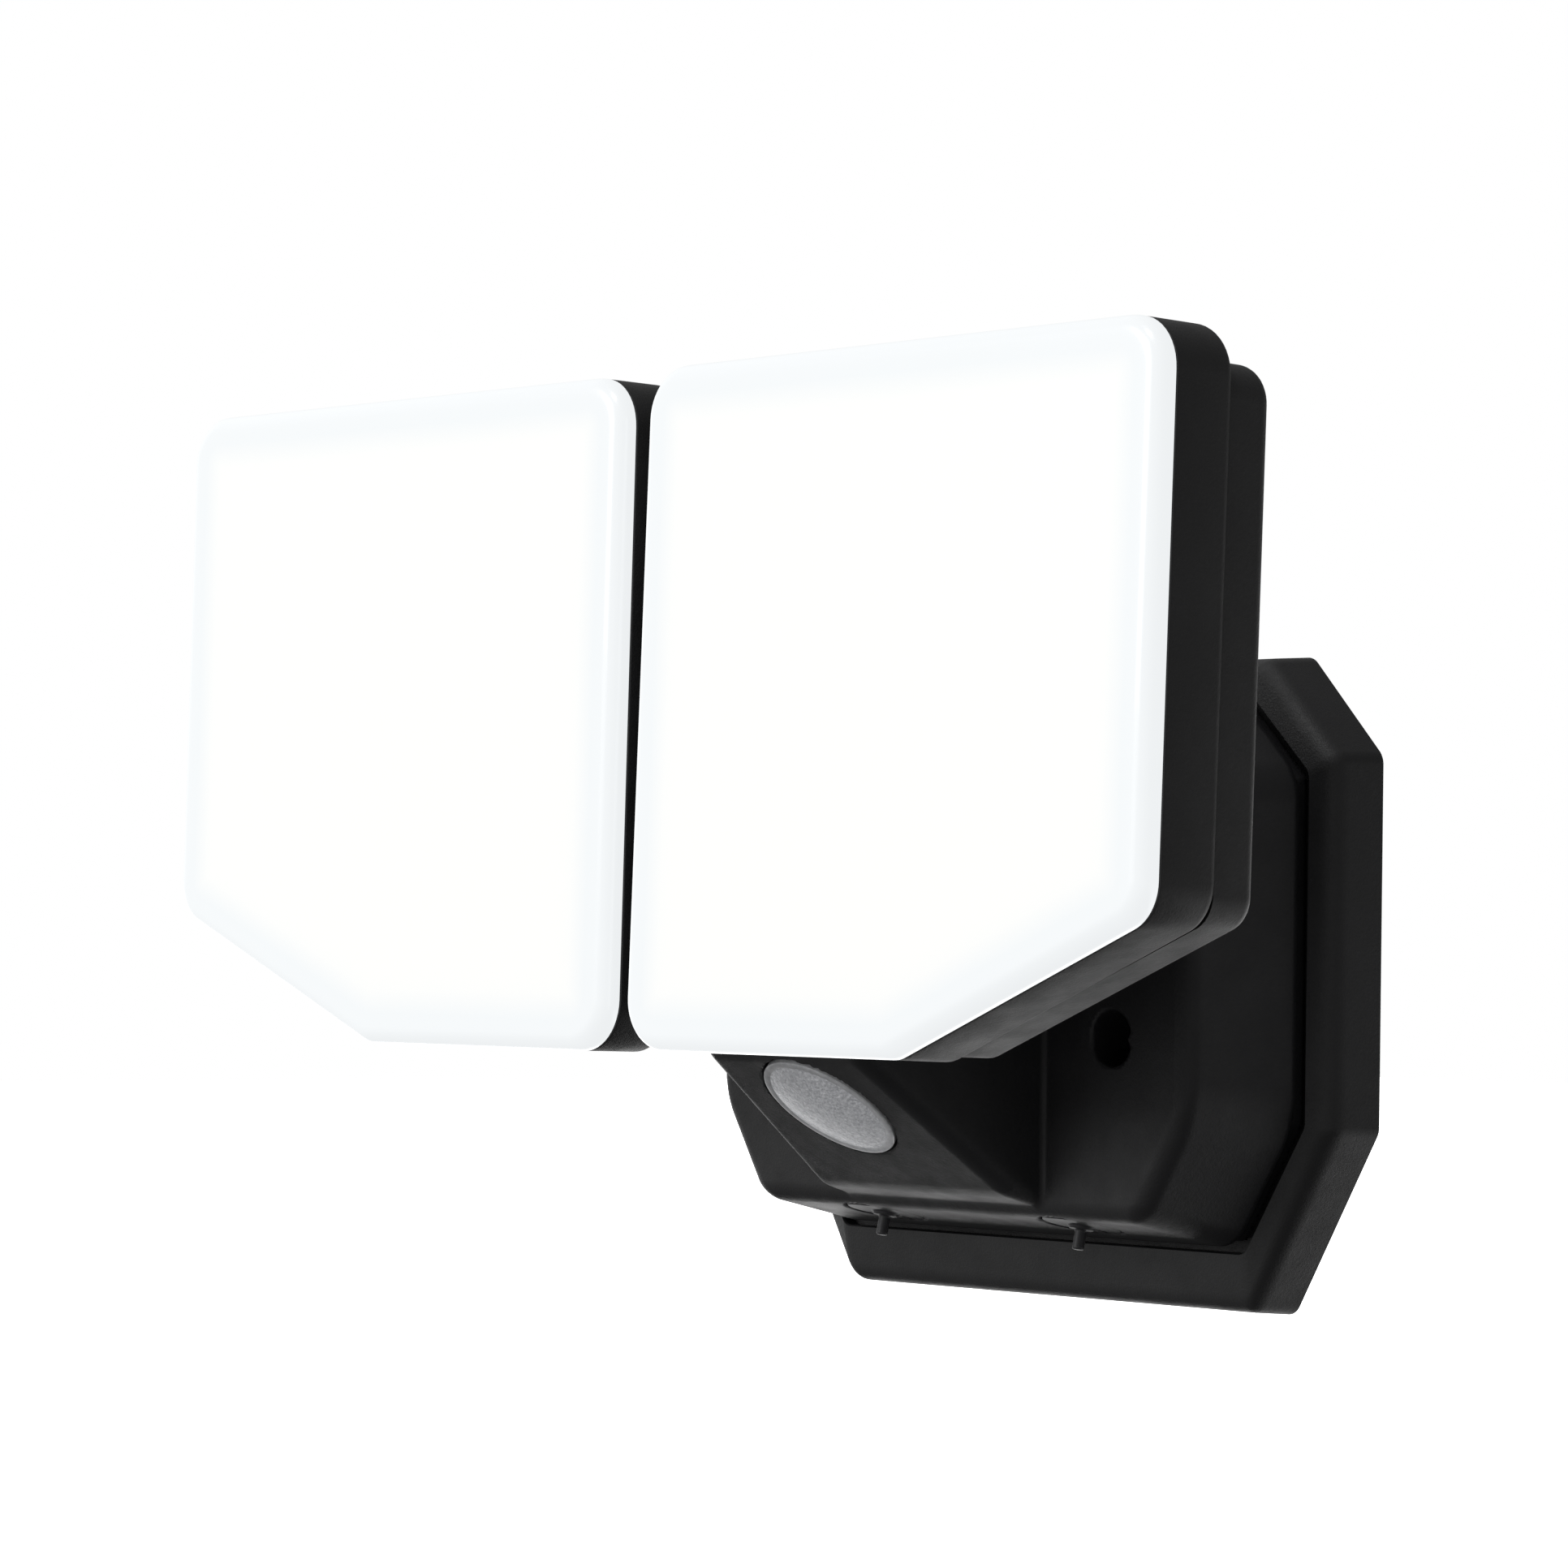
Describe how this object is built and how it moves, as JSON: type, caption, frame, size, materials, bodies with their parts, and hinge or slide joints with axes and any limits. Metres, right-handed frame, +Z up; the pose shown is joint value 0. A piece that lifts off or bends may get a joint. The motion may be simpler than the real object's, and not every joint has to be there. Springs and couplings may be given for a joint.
{
  "type": "motion-sensor floodlight",
  "caption": "Wall-mounted twin-head security floodlight: flat opal lamp heads that pan and tilt on knuckles in front of an eight-sided base with a motion sensor and setting dials.",
  "frame": {"origin": "midway between the two wall screws, on the wall plane", "axes": "+X to the right seen from the front, +Y into the wall, +Z up"},
  "size_m": [0.2357, 0.1024, 0.1443],
  "materials": {
    "tray_plastic": "satin black moulded plastic with a fine spark-eroded grain",
    "shell_plastic": "satin black moulded plastic with a fine spark-eroded grain",
    "head_plastic": "satin black moulded plastic with a fine spark-eroded grain",
    "knuckle_plastic": "satin black glass-filled plastic",
    "dial_plastic": "satin black plastic",
    "inner_plastic": "plain black plastic",
    "opal_diffuser": "smooth opal white, light scattering",
    "sensor_lens": "frosted translucent grey with a fine pebble texture",
    "rubber": "matt black",
    "steel": "bright zinc-plated steel",
    "zinc": "dull zinc-plated steel",
    "circuit_board": "green solder mask",
    "led_board": "white solder mask on aluminium",
    "led_phosphor": "yellow phosphor",
    "winding_tape": "yellow winding tape",
    "capacitor_sleeve": "dark blue shrink sleeve",
    "relay_case": "blue plastic case",
    "pot_case": "blue plastic",
    "terminal_plastic": "off-white plastic"
  },
  "bodies": {
    "base": {"wall_tray": "tray_plastic", "wall_gasket": "rubber", "cable_grommet": "rubber", "front_shell": "shell_plastic", "shell_seal": "rubber", "shell_screws": "steel", "pir_lens": "sensor_lens", "lens_retainer": "inner_plastic", "pir_sensor": "steel", "sensor_board": "circuit_board", "driver_board": "circuit_board", "driver_posts": "inner_plastic", "transformer": "winding_tape", "capacitors": "capacitor_sleeve", "relay": "relay_case", "terminal_block": "terminal_plastic", "terminal_screws": "zinc", "dial_board": "circuit_board", "time_pot": "pot_case", "lux_pot": "pot_case", "pan_bolt_left": "steel", "pan_nut_left": "zinc", "pan_bolt_right": "steel", "pan_nut_right": "zinc"},
    "time_dial": {"time_dial": "dial_plastic"},
    "lux_dial": {"lux_dial": "dial_plastic"},
    "knuckle_left": {"knuckle_left": "knuckle_plastic", "washers_left": "zinc"},
    "head_left": {"diffuser_left": "opal_diffuser", "diffuser_seal_left": "rubber", "led_board_left": "led_board", "led_chips_left": "led_phosphor", "head_housing_left": "head_plastic", "rear_cover_left": "head_plastic", "rear_screws_left": "steel", "tilt_bolt_left": "steel", "tilt_nut_left": "zinc"},
    "knuckle_right": {"knuckle_right": "knuckle_plastic", "washers_right": "zinc"},
    "head_right": {"diffuser_right": "opal_diffuser", "diffuser_seal_right": "rubber", "led_board_right": "led_board", "led_chips_right": "led_phosphor", "head_housing_right": "head_plastic", "rear_cover_right": "head_plastic", "rear_screws_right": "steel", "tilt_bolt_right": "steel", "tilt_nut_right": "zinc"}
  },
  "joints": [
    {"name": "pan_left", "type": "hinge", "parent": "base", "child": "knuckle_left", "pos_m": [-0.04, -0.046, 0.027], "axis": [0, 0, -1], "range_deg": [0, 45]},
    {"name": "tilt_left", "type": "hinge", "parent": "knuckle_left", "child": "head_left", "pos_m": [-0.0393, -0.06499, 0.027], "axis": [-0.9993, -0.0366, 0], "range_deg": [-15, 40]},
    {"name": "pan_right", "type": "hinge", "parent": "base", "child": "knuckle_right", "pos_m": [0.04, -0.046, 0.027], "axis": [0, 0, 1], "range_deg": [0, 45]},
    {"name": "tilt_right", "type": "hinge", "parent": "knuckle_right", "child": "head_right", "pos_m": [0.0402, -0.065, 0.027], "axis": [-0.9999, -0.0105, 0], "range_deg": [-15, 40]},
    {"name": "time_turn", "type": "hinge", "parent": "base", "child": "time_dial", "pos_m": [-0.024, -0.0234, -0.0299], "axis": [0, -0.2085, -0.978], "range_deg": [-135, 135]},
    {"name": "lux_turn", "type": "hinge", "parent": "base", "child": "lux_dial", "pos_m": [0.024, -0.0234, -0.0299], "axis": [0, -0.2085, -0.978], "range_deg": [-135, 135]}
  ]
}
